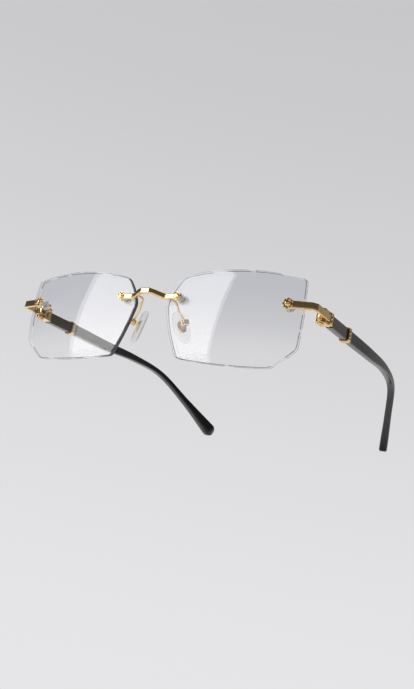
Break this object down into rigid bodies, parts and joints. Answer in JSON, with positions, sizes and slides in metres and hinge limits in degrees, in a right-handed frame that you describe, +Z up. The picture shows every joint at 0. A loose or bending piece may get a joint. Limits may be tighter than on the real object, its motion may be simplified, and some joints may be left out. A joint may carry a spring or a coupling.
{
  "type": "rimless eyeglasses",
  "caption": "Rimless eyeglasses with tinted hexagonal lenses, a polished gold bridge and end pieces, folding dark horn temples with gold collars, and rocking clear nose pads.",
  "frame": {"origin": "on the surface that the open glasses stand on, under the middle of the whole bounding box", "axes": "+X to the wearer's left, +Y back along the temples, +Z up; the lenses face -Y"},
  "size_m": [0.1418, 0.147, 0.0374],
  "materials": {
    "gold": "polished gold plating",
    "dark_horn": "satin dark horn",
    "tinted_lens": "polished, light grey-blue gradient tint, darker at the top",
    "clear_plastic": "clear",
    "clear_silicone": "clear, slightly frosted",
    "steel": "plain drawn wire"
  },
  "bodies": {
    "front": {"bridge": "gold", "left_lens": "tinted_lens", "left_end_piece": "gold", "left_end_screw": "gold", "left_end_bushing": "clear_plastic", "left_end_washer": "clear_plastic", "left_end_nut": "gold", "left_bridge_screw": "gold", "left_bridge_bushing": "clear_plastic", "left_bridge_washer": "clear_plastic", "left_bridge_nut": "gold", "left_pad_arm": "gold", "left_pad_box": "gold", "left_pad_screw": "gold", "right_lens": "tinted_lens", "right_end_piece": "gold", "right_end_screw": "gold", "right_end_bushing": "clear_plastic", "right_end_washer": "clear_plastic", "right_end_nut": "gold", "right_bridge_screw": "gold", "right_bridge_bushing": "clear_plastic", "right_bridge_washer": "clear_plastic", "right_bridge_nut": "gold", "right_pad_arm": "gold", "right_pad_box": "gold", "right_pad_screw": "gold"},
    "left_temple_body": {"left_temple_cap": "gold", "left_hinge_screw": "gold", "left_temple": "dark_horn", "left_temple_core": "steel", "left_collar": "gold"},
    "left_pad_body": {"left_pad_plate": "gold", "left_nose_pad": "clear_silicone"},
    "right_temple_body": {"right_temple_cap": "gold", "right_hinge_screw": "gold", "right_temple": "dark_horn", "right_temple_core": "steel", "right_collar": "gold"},
    "right_pad_body": {"right_pad_plate": "gold", "right_nose_pad": "clear_silicone"}
  },
  "joints": [
    {"name": "left_temple_fold", "type": "hinge", "parent": "front", "child": "left_temple_body", "pos_m": [0.0681, -0.05418, 0.02413], "axis": [0, 0, 1], "range_deg": [0, 82]},
    {"name": "right_temple_fold", "type": "hinge", "parent": "front", "child": "right_temple_body", "pos_m": [-0.0681, -0.05418, 0.02413], "axis": [0, 0, -1], "range_deg": [0, 76]},
    {"name": "left_pad_rock", "type": "hinge", "parent": "front", "child": "left_pad_body", "pos_m": [0.0126, -0.06017, 0.01823], "axis": [-0.4361, -0.8215, -0.3673], "range_deg": [-8, 8]},
    {"name": "right_pad_rock", "type": "hinge", "parent": "front", "child": "right_pad_body", "pos_m": [-0.0126, -0.06017, 0.01823], "axis": [-0.4361, 0.8215, 0.3673], "range_deg": [-8, 8]}
  ]
}
